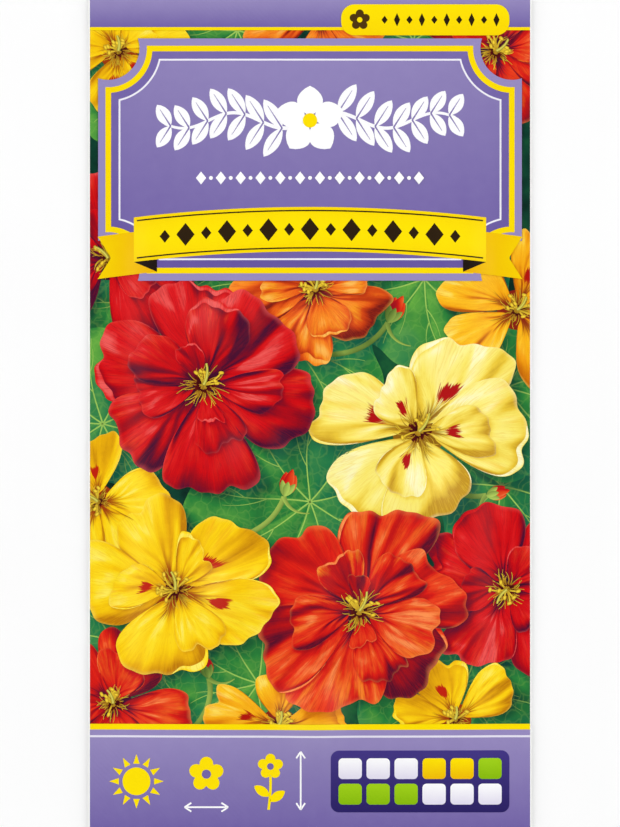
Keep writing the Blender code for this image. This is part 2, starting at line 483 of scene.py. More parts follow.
def web_height(x, y):
    """Height of the front web's outer face at x, y in metres.

    The seal is flat. Inside it stands the pillow, one minus a high power of the share of the way out,
    fuller towards the bottom; bumps over the seeds are bells joined to it by a power mean. Ripples
    that run in from the seals are sums of sines that die out inwards."""
    sizes = bpy.context.scene.packet_sizes
    half_x, half_y = FRONT_HIGH.x - sizes.side_seal, FRONT_HIGH.y - sizes.end_seal
    in_x, in_y = (
        np.clip(eased(1 - np.abs(way) / half, CREASE_EASE), 0, 1) for way, half in ((x, half_x), (y, half_y))
    )
    pillow = sizes.pillow * (1 - PILLOW_LEAN * y / FRONT_HIGH.y)
    pillow = pillow * (1 - (1 - in_x) ** PILLOW_POWERS[0]) * (1 - (1 - in_y) ** PILLOW_POWERS[1])
    total = pillow**BUMP_POWER
    for low, high in SEED_BOXES:
        away = ((x - (low + high).x / 2) ** 2 + (y - (low + high).y / 2) ** 2) / sizes.bump**2
        total = total + ((high.z - low.z + SEED_ROOM) * np.exp(-away / 2)) ** BUMP_POWER
    fade = (1 - eased(1 - in_x / BUMP_FADE, FADE_EASE)) * (1 - eased(1 - in_y / BUMP_FADE, FADE_EASE))
    bumps = (total ** (1 / BUMP_POWER) - pillow) * np.clip(fade, 0, 1)
    inside_x, inside_y = half_x - np.abs(x), half_y - np.abs(y)
    inside = np.minimum(inside_x, inside_y)
    ripples = ripple(y, inside_x, 520, 1.3, 190, 0, 0.006) + ripple(x, inside_y, 610, 1.6, 230, 1, 0.008)
    ripples = sizes.pucker * smooth_step(inside / RIPPLE_START) * ripples
    closed = (FRONT_LOW.z - BACK_HIGH.z) * (1 - smooth_step(inside / SEAL_CLOSING))
    return FRONT_LOW.z + sizes.sheet - closed + pillow + bumps + ripples


class PrintStack:
    """Counts the passes of print that lie at each place, on cells half a millimetre wide."""

    def __init__(self):
        self.passes = np.zeros([round(2 * half / CELL) + 2 for half in (HALF_HEIGHT, HALF_WIDTH)], int)

    def cells(self, x, y):
        """The cells that hold the places, and all that touch those."""
        around = np.arange(9)
        rows = np.floor((y + HALF_HEIGHT) / CELL).astype(int)[:, None] + around // 3 - 1
        columns = np.floor((x + HALF_WIDTH) / CELL).astype(int)[:, None] + around % 3 - 1
        return np.clip(rows, 0, self.passes.shape[0] - 1), np.clip(columns, 0, self.passes.shape[1] - 1)

    def lay(self, x, y, level=None):
        """Lays a patch over what is there, or at the given level, and returns its level."""
        cells = self.cells(x, y)
        if level is None:
            level = int(self.passes[cells].max()) + 1
        self.passes[cells] = np.maximum(self.passes[cells], level)
        return level


STACK = PrintStack()


class Patches:
    """The patches of one piece, gathered as whole arrays before they become one mesh."""

    def __init__(self):
        self.corners = []
        self.faces = []
        self.tones = []
        self.charts = []
        self.finishes = []
        self.count = 0

    def add(self, x, y, tone, finish, level=None, hidden=None, chart=None, wrap=False, pole=False):
        """A grid of places in millimetres, rows by columns. With wrap the last column meets the
        first; with pole the first row is one point, closed by a fan of triangles. Faces whose
        corners are all hidden are left out. Returns the level that the patch lies at."""
        x, y = np.broadcast_arrays(x, y)
        index = np.arange(x.size).reshape(x.shape)
        if wrap:
            index = np.concatenate([index, index[:, :1]], axis=1)
        quads = np.stack([index[:-1, :-1], index[1:, :-1], index[1:, 1:], index[:-1, 1:]], axis=-1)
        parts = [quads[1:] if pole else quads]
        if pole:
            fan = quads[0][:, :3].copy()
            fan[:, 0] = index[0, 0]
            parts.append(fan)
        parts = [part.reshape(-1, part.shape[-1]) for part in parts]
        flat = np.stack([x.ravel(), y.ravel()], axis=1)
        one, other = (flat[parts[0][:, corner]] - flat[parts[0][:, 0]] for corner in (1, 2))
        turned = np.sum(one[:, 0] * other[:, 1] - one[:, 1] * other[:, 0]) < 0
        if hidden is not None:
            seen = ~hidden.ravel()
            parts = [part[seen[part].any(axis=1)] for part in parts]
        used = np.unique(np.concatenate([part.ravel() for part in parts]))
        if not len(used):
            return level
        level = STACK.lay(*flat[used].T, level)
        for part in parts:
            faces = part[:, ::-1] if turned else part
            self.faces += (faces + self.count).tolist()
            self.finishes += [finish] * len(faces)
        raised = (2 + level) * bpy.context.scene.packet_sizes.pass_height
        height = web_height(x * MM, y * MM) + raised
        self.corners.append(np.stack([x * MM, y * MM, height], axis=-1).reshape(-1, 3))
        self.tones.append(np.broadcast_to(np.asarray(tone, float), x.shape).ravel())
        self.charts.append(flat if chart is None else chart.reshape(-1, 2))
        self.count += x.size
        return level

    def disc(self, grid, tone, finish, level=None):
        """A patch on rings and spokes, closed all round and at its middle."""
        return self.add(*grid, tone, finish, level, wrap=True, pole=True)

    def build(self, name, materials):
        mesh = bpy.data.meshes.new(name)
        mesh.from_pydata(np.concatenate(self.corners), [], self.faces)
        mesh.polygons.foreach_set("material_index", self.finishes)
        mesh.polygons.foreach_set("use_smooth", [True] * len(self.faces))
        tone = mesh.attributes.new("tone", "FLOAT", "POINT")
        tone.data.foreach_set("value", np.concatenate(self.tones).astype(np.float32))
        layer = mesh.uv_layers.new(name="chart")
        of_loop = np.zeros(len(mesh.loops), np.int32)
        mesh.loops.foreach_get("vertex_index", of_loop)
        layer.data.foreach_set("uv", np.concatenate(self.charts)[of_loop].ravel().astype(np.float32))
        trim(mesh)
        return placed(name, mesh, materials, "front_web")


def trim(mesh):
    """Cuts off what reaches past the packet's edges, and drops what no face uses."""
    bm = bmesh.new()
    bm.from_mesh(mesh)
    for axis, half in enumerate((FRONT_HIGH.x - PRINT_INSET, FRONT_HIGH.y - PRINT_INSET)):
        for side in (1, -1):
            normal = np.eye(3)[axis] * side
            geometry = bm.verts[:] + bm.edges[:] + bm.faces[:]
            bmesh.ops.bisect_plane(
                bm, geom=geometry, dist=1e-9, plane_co=normal * half, plane_no=normal, clear_outer=True
            )
    loose = [vert for vert in bm.verts if not vert.link_faces]
    bmesh.ops.delete(bm, geom=loose, context="VERTS")
    bm.to_mesh(mesh)
    bm.free()


def placed(name, mesh, materials, node):
    """Links a finished mesh as a piece that rides on the packet and stands for a node."""
    for finish in materials:
        mesh.materials.append(finish)
    obj = bpy.data.objects.new(name, mesh)
    bpy.context.scene.collection.objects.link(obj)
    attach(obj, "root")
    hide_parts(node)
    return obj


def even_columns(left, right, step=CELL):
    """Even places from left to right, about a step apart."""
    return np.linspace(left, right, max(2, int((right - left) / step) + 2))


def band(x, lower, upper, step=CELL):
    """A grid between two outlines: lower and upper give y for an array of x."""
    low, high = lower(x), upper(x)
    rows = max(2, int(np.max(high - low) / step) + 2)
    share = np.linspace(0, 1, rows)[:, None]
    return np.broadcast_to(x, (rows, len(x))), low + (high - low) * share


def full_band(low, high, step=CELL):
    """A flat band from one side of the packet to the other."""
    columns = even_columns(-HALF_WIDTH, HALF_WIDTH, step)
    return band(columns, lambda x: 0 * x + low, lambda x: 0 * x + high, step)


def rounded_band(corners, radius):
    """A grid over a box with round corners, given as left, low, right and high, with closer columns
    in the corners."""
    left, low, right, high = corners

    def dip(x):
        into = np.clip(radius - np.minimum(x - left, right - x), 0, radius)
        return radius - np.sqrt(np.clip(radius**2 - into**2, 0, None))

    corner = radius * (1 - np.cos(np.linspace(0, math.pi / 2, 9)))
    middle = even_columns(left + radius, right - radius)
    columns = np.concatenate([left + corner[:-1], middle, right - corner[-2::-1]])
    return band(columns, lambda x: low + dip(x), lambda x: high - dip(x))


def ribbon(points, widths, across=2):
    """A strip carried along a path: each point is set off sideways by half the width there."""
    points = np.asarray(points, float)
    along = np.gradient(points, axis=0)
    along /= np.maximum(np.linalg.norm(along, axis=1, keepdims=True), 1e-9)
    side = np.stack([-along[:, 1], along[:, 0]], axis=1)
    share = np.linspace(-0.5, 0.5, across)[:, None, None]
    places = points + side * share * np.asarray(widths, float).reshape(-1, 1)
    return places[..., 0], places[..., 1]


def straight(start, end, step):
    """Points at about even steps from start to end."""
    count = max(2, int(math.dist(start, end) / step) + 1)
    return np.linspace(start, end, count)


def towards(heading):
    """A step of one along each heading."""
    return np.stack([np.cos(heading), np.sin(heading)], axis=-1)


def ray(start, heading, length, steps):
    """Points from start that follow heading, a number or one for each point, for a length."""
    share = np.linspace(0, 1, steps)
    return np.asarray(start) + towards(heading + 0 * share) * (share * length)[:, None]


def polar(centre, radius, rings, segments):
    """A disc on rings and spokes. Radius is a number or a function of the angle."""
    angle = np.linspace(0, math.tau, segments, endpoint=False)
    rim = radius(angle) if callable(radius) else np.full_like(angle, radius)
    share = np.linspace(0, 1, rings)[:, None]
    return centre[0] + share * rim * np.cos(angle), centre[1] + share * rim * np.sin(angle)


def lozenge(centre, half_width, half_height):
    """A disc whose rim is where the shares of the two half sizes add up to one."""

    def rim(turn):
        return 1 / (np.abs(np.cos(turn)) / half_width + np.abs(np.sin(turn)) / half_height)

    return polar(centre, rim, 4, 24)


def almond(base, heading, length, width, rows=12):
    """A pointed leaf: half its width is the sine of the way along it, to a power."""
    share = np.linspace(0, 1, rows)[:, None]
    across = np.linspace(-1, 1, max(3, int(width / CELL) + 1))
    side = across * width / 2 * np.sin(math.pi * share) ** 0.75
    ahead = np.broadcast_to(share * length, side.shape)
    c, s = math.cos(heading), math.sin(heading)
    return base[0] + ahead * c - side * s, base[1] + ahead * s + side * c


@dataclass
class Petal:
    """One pictured petal: a fan from its base. Sizes are in millimetres, turns in radians."""

    base: np.ndarray
    turn: np.ndarray
    length: float
    spread: float
    lift: float
    order: int
    bloom: int
    cup: float
    droop: float
    ruffle: float
    ragged: float
    notch: float
    fold: float
    shift: float
    curl: float
    phases: np.ndarray

    def rim(self, across):
        """Share of the length at which the rim stands: round shoulders, a lean to one side, a waved
        edge and a notch."""
        waves = 1.3 * np.sin(4 * across + self.phases[0]) + 0.8 * np.sin(9 * across + self.phases[1])
        nicks = 0.4 * np.sin(21 * across + self.phases[2])
        cleft = self.notch * np.exp(-(((across - 0.35 * math.sin(self.phases[3])) / 0.14) ** 2))
        lean = 0.12 * math.sin(self.phases[4]) * across
        shoulders = np.sqrt(np.clip(1 - np.abs(across) ** RIM_POWER, 0, 1))
        return shoulders * (1 + self.ragged * (waves + nicks) + lean - cleft)

    def opening(self, along):
        """Share of the full spread at a share of the way along: narrow in the claw."""
        return CLAW + (1 - CLAW) * smooth_step(along / 0.62)

    def lip(self, across):
        """Share of the length that the rim is rolled over by: the upper part of a sine."""
        return self.curl * np.clip(np.sin(2.6 * across + self.phases[6]) - 0.25, 0, 1)

    def depth(self, places):
        """How far inside the petal's outline places lie, in millimetres, and below nought outside."""
        local = (places - self.base) @ np.linalg.inv(self.turn).T
        reach = np.hypot(local[..., 0], local[..., 1])
        angle = np.arctan2(local[..., 0], local[..., 1])
        rim = self.length
        for _ in range(2):
            width = self.spread * self.opening(reach / np.maximum(rim, 0.2 * self.length))
            rim = self.length * self.rim(np.clip(angle / width, -1, 1))
        beside = (PETAL_EDGE * width - np.abs(angle)) * np.maximum(reach, 0.5)
        return np.minimum(np.minimum(rim - reach, beside), reach - PETAL_START * rim)

    def fan(self, across, along):
        """Places at shares across and along: the fan's angle is across times spread, narrowed in
        the claw, and the reach is along times the rim."""
        angle = across * self.spread * self.opening(along)
        reach = along * self.length * self.rim(across)
        local = np.stack([reach * np.sin(angle), reach * np.cos(angle)], axis=-1)
        return self.base + local @ self.turn.T

    def columns(self, edge):
        """Shares across the petal from edge to edge, close enough at the rim."""
        return np.linspace(-edge, edge, int(2 * self.spread * self.length / PETAL_STEP) + 6)[None, :]

    def surface(self):
        """Shares, places and pictured relief over the whole petal.

        The relief cups upwards with the square of the way along, droops with its fifth power, and is
        ruffled by sines of the angle that grow towards the rim. Pleats run along the veins, one
        groove runs up the petal, and fine crinkles are sines across and along it."""
        across = self.columns(PETAL_EDGE)
        along = np.linspace(PETAL_START, 1, int(self.length / PETAL_STEP) + 4)[:, None]
        bend = across + 0.16 * np.sin(3 * along + self.phases[3])
        waves = (
            np.sin(2.3 * bend + self.phases[4])
            + 0.6 * np.sin(4.9 * bend + self.phases[5])
            + 0.35 * along * np.sin(10 * bend + self.phases[6] + 2 * along)
        )
        pleats = np.abs(np.sin(3.1 * bend + self.phases[7])) - 0.6
        relief = self.cup * along**2 - self.droop * along**5 + self.ruffle * along**2 * waves
        relief = relief + 0.35 * self.ruffle * along * pleats - 0.08 * across**2 * along
        groove = np.exp(-(((bend - 0.4 * math.sin(self.phases[8])) / 0.09) ** 2))
        relief = relief - self.fold * groove * along
        for number, phase in enumerate(self.phases):
            turns = 6 + 2.3 * number
            relief = relief + 0.030 / turns * np.sin(turns * across + (5 * number % 13) * along + phase)
        return across, along, self.fan(across, along), self.length * relief + self.lift

    def rolled_lip(self):
        """The rolled part of the rim: from the roll's inner edge to the rim, lit as half a round."""
        across = self.columns(0.93)
        share = np.linspace(0, 1, 5)[:, None]
        along = 1 - self.lip(across) * (1 - share)
        tone = 0.98 - 0.75 * (share - 0.35) ** 2 + 0.10 * np.sin(17 * across + self.phases[1])
        return across, along, self.fan(across, along), tone


def drawn_tone(places, relief):
    """Light drawn on a pictured surface: the cosine of the angle to the light, stretched about its
    value on level ground, and a satin gleam where the surface would mirror the light upwards."""
    raised = np.concatenate([places, relief[..., None]], axis=-1)
    normal = np.cross(np.gradient(raised, axis=0), np.gradient(raised, axis=1))
    normal *= np.sign(normal[..., 2:3])
    normal /= np.maximum(np.linalg.norm(normal, axis=-1, keepdims=True), 1e-9)
    halfway = LIGHT_IN_PICTURE + np.array([0, 0, 1])
    halfway /= np.linalg.norm(halfway)
    gleam = np.clip(normal @ halfway, 0, 1) ** GLEAM_POWER
    lit = np.clip(normal @ LIGHT_IN_PICTURE, 0, 1)
    return LEVEL_TONE + TONE_CONTRAST * (lit - LIGHT_IN_PICTURE[2]) + GLEAM * gleam


SHADES_WITHIN = ((0.55, 0.50, 0.34), (1.7, 1.9, 0.34))
SHADES_BETWEEN = ((1.3, 1.0, 0.45), (3.6, 3.2, 0.60))
SHADE_REACH, SHADE_LEAN = 8.0, 1.5


def cast_shade(places, order, bloom, petals):
    """Shade cast by every petal above: the drop to the surface, how soft the shade is, and how deep.
    Each is a near, crisp shade and a far, soft one, stronger across two blooms than within one."""
    lit = np.ones((2, *places.shape[:-1]))
    for petal in petals:
        if petal.order <= order or not near(petal, places, SHADE_REACH):
            continue
        shades = SHADES_WITHIN if petal.bloom == bloom else SHADES_BETWEEN
        for number, (drop, soft, strength) in enumerate(shades):
            depth = petal.depth(places + SHADE_LEAN * drop * LIGHT_IN_PICTURE[:2])
            covered = smooth_step(0.5 + depth / (2 * soft))
            lit[number] = np.minimum(lit[number], 1 - strength * covered)
    return lit[0] * lit[1]


def near(petal, places, margin):
    """Whether any place could lie within margin of the petal."""
    low, high = places.reshape(-1, 2).min(0), places.reshape(-1, 2).max(0)
    away = np.maximum(np.maximum(low - petal.base, petal.base - high), 0)
    return np.hypot(*away) < 1.2 * petal.length + margin


def hidden_below(places, order, petals):
    """Which places lie well under a petal painted later, or under the plaque and the bands."""
    x, y = places[..., 0], places[..., 1]
    hidden = (y < BAND_TOP - HIDE_MARGIN) | (y > STRIP_FOOT + HIDE_MARGIN)
    off_x, off_y = np.abs(x - PLAQUE_CENTRE[0]), np.abs(y - PLAQUE_CENTRE[1])
    in_plaque = (off_x < PLAQUE_HALF[0] - HIDE_MARGIN) & (off_y < PLAQUE_HALF[1] - HIDE_MARGIN)
    to_corner = np.hypot(PLAQUE_HALF[0] - off_x, PLAQUE_HALF[1] - off_y)
    hidden |= in_plaque & (to_corner > PLAQUE_SCOOP + HIDE_MARGIN)
    for petal in petals:
        if petal.order > order and near(petal, places, 0.0):
            hidden |= petal.depth(places) > HIDE_MARGIN
    return hidden


@dataclass
class Bloom:
    """One pictured bloom: its kind, place, radius, heading and rings of petals. A tilt below one
    squeezes it along the direction tilt_way, as if it were seen from the side."""

    name: str
    kind: str
    x: float
    y: float
    radius: float
    heading: float
    rings: tuple
    tilt: float
    tilt_way: float
    seed: int


# Each ring's count of petals, share of the radius, spread and ruffle
SINGLE = ((5, 1.00, 0.66, 0.055),)
FULL = ((5, 1.00, 0.76, 0.065), (3, 0.66, 0.74, 0.075))
DOUBLE = ((6, 1.00, 0.70, 0.070), (5, 0.74, 0.62, 0.080), (2, 0.48, 0.60, 0.080))

BLOOMS = (
    Bloom("bloom_top_middle", "orange", 2, 77, 14, 100, SINGLE, 0.85, 80, 13),
    Bloom("bloom_top_left", "yellow", -37, 70, 15, 20, FULL, 0.9, 60, 11),
    Bloom("bloom_top_right", "scarlet", 36, 70, 16, -30, FULL, 0.9, 120, 12),
    Bloom("bloom_shoulder", "crimson", -39, 30, 17, 65, FULL, 0.9, 30, 14),
    Bloom("bloom_left_yellow", "yellow", -41, -17, 13.5, 80, SINGLE, 0.92, 20, 19),
    Bloom("bloom_under_ribbon", "orange", 1, 24, 15, 12, FULL, 0.88, 95, 15),
    Bloom("bloom_right_amber", "amber", 40, 20, 15.5, -20, SINGLE, 0.92, 10, 16),
    Bloom("bloom_foot", "amber", -6, -60, 13.5, 5, SINGLE, 0.9, 90, 23),
    Bloom("bloom_foot_left", "scarlet", -38, -56, 14.5, 40, FULL, 0.9, 50, 24),
    Bloom("bloom_right_red", "crimson", 38, -34, 16.5, 160, FULL, 0.9, 10, 22),
    Bloom("bloom_foot_right", "yellow", 28, -59, 12.5, 10, SINGLE, 0.9, 95, 25),
    Bloom("bloom_cream", "cream", 21, -3.5, 20.5, -14, FULL, 0.92, 100, 18),
    Bloom("bloom_crimson", "crimson", -20.5, 5.5, 21.0, 8, DOUBLE, 0.93, 80, 17),
    Bloom("bloom_scarlet", "scarlet", 9.5, -38, 20.0, -6, DOUBLE, 0.92, 110, 21),
    Bloom("bloom_yellow", "yellow", -26, -34, 18, 28, FULL, 0.94, 70, 20),
)


def tilted(heading, tilt, tilt_way):
    """A turn by heading, then a squeeze by tilt along the direction tilt_way, both in radians."""
    c, s = math.cos(heading), math.sin(heading)
    way = towards(tilt_way)
    squeeze = np.eye(2) - (1 - tilt) * np.outer(way, way)
    return squeeze @ np.array([[c, -s], [s, c]])


def petals_of(bloom, number, first):
    """Petals in rings from the outside in, each set a little off its even place and skewed."""
    draw = np.random.default_rng(bloom.seed)
    heading, tilt_way = math.radians(bloom.heading), math.radians(bloom.tilt_way)
    petals = []
    for ring, (count, reach, spread, ruffle) in enumerate(bloom.rings):
        loose = 0.12 + 0.14 * ring
        for place in draw.permutation(count):
            angle = heading + math.tau * (place + 0.5 * ring) / count + draw.uniform(-loose, loose)
            skew = np.array([[1.0, draw.uniform(-0.28, 0.28)], [0.0, 1.0]])
            turn = tilted(angle, bloom.tilt, tilt_way) @ skew
            petals.append(
                Petal(
                    base=np.array([bloom.x, bloom.y]) + turn[:, 1] * bloom.radius * 0.05,
                    turn=turn,
                    length=bloom.radius * reach * draw.uniform(0.90 - 0.14 * ring, 1.06),
                    spread=spread * draw.uniform(0.90, 1.16),
                    lift=0.5 * len(petals),
                    order=first + len(petals),
                    bloom=number,
                    cup=draw.uniform(0.05, 0.34) + 0.06 * ring,
                    droop=draw.uniform(0.02, 0.36),
                    ruffle=ruffle * draw.uniform(0.7, 1.3),
                    ragged=draw.uniform(0.018, 0.036) * (1 + 0.3 * ring),
                    notch=draw.uniform(0.0, 0.10),
                    fold=draw.uniform(-0.01, 0.040),
                    shift=draw.uniform(-0.07, 0.07),
                    curl=max(0.0, draw.uniform(-0.10, 0.17)),
                    phases=draw.uniform(0, math.tau, 9),
                )
            )
    return petals


def all_petals():
    """Every petal of the picture in the order of painting."""
    found = []
    for number, bloom in enumerate(BLOOMS):
        found += petals_of(bloom, number, len(found))
    return found


def petal_chart(index, across, along):
    """The petal map: each petal has three units across, and the middle one holds it."""
    return np.stack(np.broadcast_arrays(index * 3 + 0.5 + across / 2, along + 0 * across), axis=-1)


def build_bloom(bloom, number, petals):
    """One bloom: its petals, the dark of its throat, and its stamens with their fringe of hairs."""
    own = [petal for petal in petals if petal.bloom == number]
    patches = Patches()
    centre = np.array([bloom.x, bloom.y])
    x, y = polar(centre, 0.25 * bloom.radius, 12, 40)
    hidden = hidden_below(np.stack([x, y], axis=-1), own[0].order - 1, petals)
    deep_in = np.stack([0 * x + 0.5, 0 * x + 0.06], axis=-1)
    patches.add(x, y, 0.05, PETAL, hidden=hidden, chart=deep_in, wrap=True, pole=True)
    for index, petal in enumerate(own):
        across, along, places, relief = petal.surface()
        from_throat = np.linalg.norm(places - centre, axis=-1) / bloom.radius
        tone = drawn_tone(places, relief) + petal.shift
        tone = tone * (0.45 + 0.55 * smooth_step(from_throat / 0.45))
        tone = tone * cast_shade(places, petal.order, number, petals)
        before_lip = (along - 1 + petal.lip(across)) * petal.length
        rolled = smooth_step(petal.lip(across) * petal.length / 1.2)
        tone = tone * (1 - 0.5 * rolled * np.exp(-((np.minimum(before_lip, 0) / 0.9) ** 2)))
        hidden = hidden_below(places, petal.order, petals)
        patches.add(*np.moveaxis(places, -1, 0), tone, PETAL, None, hidden, petal_chart(index, across, along))
        if petal.curl > 0.04:
            add_lip(patches, petal, index, petals)
    if not hidden_below(centre[None, :], own[-1].order, petals)[0]:
        add_throat(patches, bloom)
    throat = inked("throat", srgb(16, 0, 6), srgb(92, 12, 14))
    stamens = inked("stamens", srgb(122, 46, 4), srgb(255, 222, 60))
    pistil = inked("pistil", srgb(96, 96, 10), srgb(226, 214, 92))
    return patches.build(bloom.name, [petal_material(bloom.kind), throat, stamens, pistil])


def add_lip(patches, petal, index, petals):
    """The rolled part of a petal's rim, in the petal's own inks."""
    across, along, places, tone = petal.rolled_lip()
    tone = tone * cast_shade(places, petal.order, petal.bloom, petals)
    hidden = hidden_below(places, petal.order, petals) | (petal.lip(across) < 0.012)
    chart = petal_chart(index, across, 0.80 * along)
    patches.add(*np.moveaxis(places, -1, 0), tone, PETAL, None, hidden, chart)


HAIRS, STALKS, THROAT_SHARE = 46, 9, 0.105


def add_throat(patches, bloom):
    """A dark oval at the centre, a tuft of hairs round it, filaments with anthers, and the pistil."""
    draw = np.random.default_rng(bloom.seed + 500)
    size = bloom.radius * THROAT_SHARE
    centre = np.array([bloom.x, bloom.y])
    heading = math.radians(bloom.heading)
    x, y = polar((0, 0), lambda angle: size * (1 + 0.22 * np.sin(3 * angle + 1)), 6, 28)
    base = patches.disc((x + bloom.x, y * 0.85 + bloom.y), np.linspace(0, 1, 6)[:, None], THROAT)
    share = np.linspace(0, 1, 6)
    for hair in range(HAIRS):
        angle = draw.uniform(0, math.tau)
        start = centre + size * draw.uniform(0.5, 1.0) * towards(angle)
        path = ray(start, angle + draw.uniform(-0.6, 0.6) * share, bloom.radius * draw.uniform(0.05, 0.17), 6)
        tone = 0.15 + draw.uniform(0.4, 0.8) * share
        patches.add(*ribbon(path, 0.24 * (1 - 0.75 * share)), tone, STAMEN, base + 1 + hair % 3)
    for stalk in range(STALKS):
        angle = heading + math.pi / 2 + draw.uniform(-1.8, 1.8)
        start = centre - 0.4 * size * towards(angle)
        path = ray(start, angle + draw.uniform(-0.7, 0.7) * share, bloom.radius * draw.uniform(0.12, 0.26), 6)
        level = base + 4 + stalk % 3
        patches.add(*ribbon(path, 0.40 - 0.12 * share), 0.25 + 0.6 * share, STAMEN, level)
        anther = polar(path[-1], lambda turn: 0.42 * (1 + 0.28 * np.cos(2 * turn + angle)), 3, 12)
        patches.disc(anther, np.array([[1.0], [0.8], [0.35]]), STAMEN, level + 3)
    path = ray(centre, heading + 0.9 + 0.4 * share, bloom.radius * 0.20, 6)
    tone = np.array([[0.2], [1.0], [0.45]])
    patches.add(*ribbon(path, 0.62 - 0.2 * share, 3), tone, PISTIL, base + 10)


@dataclass
class Leaf:
    """One pictured leaf: a round shield with its stalk's hub off its middle."""

    x: float
    y: float
    radius: float
    heading: float
    seed: int

    def edge(self, angle):
        """Reach of the leaf from its hub: a circle, longer to one side, with a waved edge."""
        phases = np.random.default_rng(self.seed + 90).uniform(0, math.tau, 2)
        waves = 0.05 * np.sin(5 * angle + phases[0]) + 0.03 * np.sin(9 * angle + phases[1])
        return self.radius * (1 + waves + 0.20 * np.cos(angle - math.radians(self.heading)))

    def depth(self, places):
        """How far inside the leaf places lie, in millimetres."""
        x, y = places[..., 0] - self.x, places[..., 1] - self.y
        return self.edge(np.arctan2(y, x)) - np.hypot(x, y)


LEAVES = (
    Leaf(-30, 62, 17, 40, 1),
    Leaf(20, 72, 16, 200, 2),
    Leaf(-14, 74, 12, 100, 3),
    Leaf(22, 26, 19, 120, 5),
    Leaf(-32, 20, 18, 10, 4),
    Leaf(-40, -2, 15, 60, 8),
    Leaf(37, -14, 18, 20, 10),
    Leaf(38, 5, 15, 300, 7),
    Leaf(-2, 12, 16, 260, 6),
    Leaf(0, -17, 20, 170, 9),
    Leaf(-38, -44, 17, 330, 11),
    Leaf(-22, -58, 15, 210, 14),
    Leaf(30, -52, 19, 140, 13),
    Leaf(-10, -52, 17, 80, 12),
)
LEAF_RIBS, LEAF_RING, LEAF_STEP = 9, 0.55, 0.6
LEAF_ORDER = NO_BLOOM = -1  # greenery is painted before every petal

# Each bud's tip, heading and length
BUDS = (
    ((-5.0, -16.0), 72, 6.5),
    ((15.0, 17.5), 60, 7.0),
    ((34.0, -15.8), 12, 5.5),
    ((-19.5, -51.0), 104, 5.5),
)


def leaf_shade(places, leaves, petals):
    """Shade on the greenery from the leaves above and from every petal."""
    lit = cast_shade(places, LEAF_ORDER, NO_BLOOM, petals)
    for leaf in leaves:
        covered = smooth_step(0.5 + leaf.depth(places + 3.0 * LIGHT_IN_PICTURE[:2]) / 4.4)
        lit = lit * (1 - 0.62 * covered * (leaf.depth(places) < 0))
    return lit


def build_leaves(petals):
    """Round leaves with nine forked ribs from the hub and a pale edge, each over the last."""
    patches = Patches()
    for number, leaf in enumerate(LEAVES):
        draw = np.random.default_rng(leaf.seed)
        above = LEAVES[number + 1 :]
        rings, segments = int(leaf.radius / LEAF_RING) + 2, int(leaf.radius * math.tau / LEAF_STEP)
        x, y = polar((leaf.x, leaf.y), leaf.edge, rings, segments)
        places = np.stack([x, y], axis=-1)
        share = np.linspace(0, 1, rings)[:, None]
        angle = np.linspace(0, math.tau, segments, endpoint=False)[None, :]
        ribs = np.abs(np.sin(LEAF_RIBS / 2 * (angle - math.radians(leaf.heading))))
        folds = 0.10 * share**2 * np.sin(2 * angle + draw.uniform(0, math.tau)) - 0.05 * share**6
        tone = drawn_tone(places, leaf.radius * (folds + 0.045 * share * ribs)) + draw.uniform(-0.14, 0.10)
        tone = tone + 0.16 * np.exp(-((leaf.depth(places) / 0.5) ** 2))
        tone = (tone + 0.10 * np.exp(-((ribs / 0.12) ** 2))) * leaf_shade(places, above, petals)
        hidden = hidden_below(places, LEAF_ORDER, petals)
        patches.add(x, y, tone, LEAF, hidden=hidden, wrap=True, pole=True)
        add_ribs(patches, leaf, above, petals, draw)
    for bud in BUDS:
        add_bud(patches, *bud, petals)
    ribs = inked("leaf_ribs", ink("leaf_dark"), ink("vein"))
    stems = inked("stems", srgb(52, 84, 30), srgb(176, 204, 92))
    return patches.build("print_leaves", [leaf_material(), ribs, stems, petal_material("scarlet")])


def add_ribs(patches, leaf, above, petals, draw):
    """Ribs from the hub to near the edge, thinner outwards, each with two forks."""
    level = None
    for rib in range(LEAF_RIBS):
        angle = math.radians(leaf.heading) + math.tau * rib / LEAF_RIBS + draw.uniform(-0.06, 0.06)
        length = 0.92 * float(leaf.edge(np.array([angle]))[0])
        steps = max(6, int(length / LEAF_STEP))
        share = np.linspace(0, 1, steps)
        path = ray((leaf.x, leaf.y), angle + 0.10 * np.sin(3 * share + rib), length, steps)
        lines = [(path, 0.30 * (1 - 0.65 * share))]
        for fork, side in ((0.42, 1), (0.62, -1)):
            reach = length * (1 - fork) * 0.72
            share = np.linspace(0, 1, max(4, int(reach / LEAF_STEP)))
            way = angle + side * (0.55 - 0.25 * share)
            start = path[int(fork * (steps - 1))]
            lines.append((ray(start, way, reach, len(share)), 0.19 * (1 - 0.6 * share)))
        for points, widths in lines:
            x, y = ribbon(points, widths)
            places = np.stack([x, y], axis=-1)
            tone = 0.85 * leaf_shade(places, above, petals)
            level = patches.add(x, y, tone, RIB, level, hidden_below(places, LEAF_ORDER, petals))


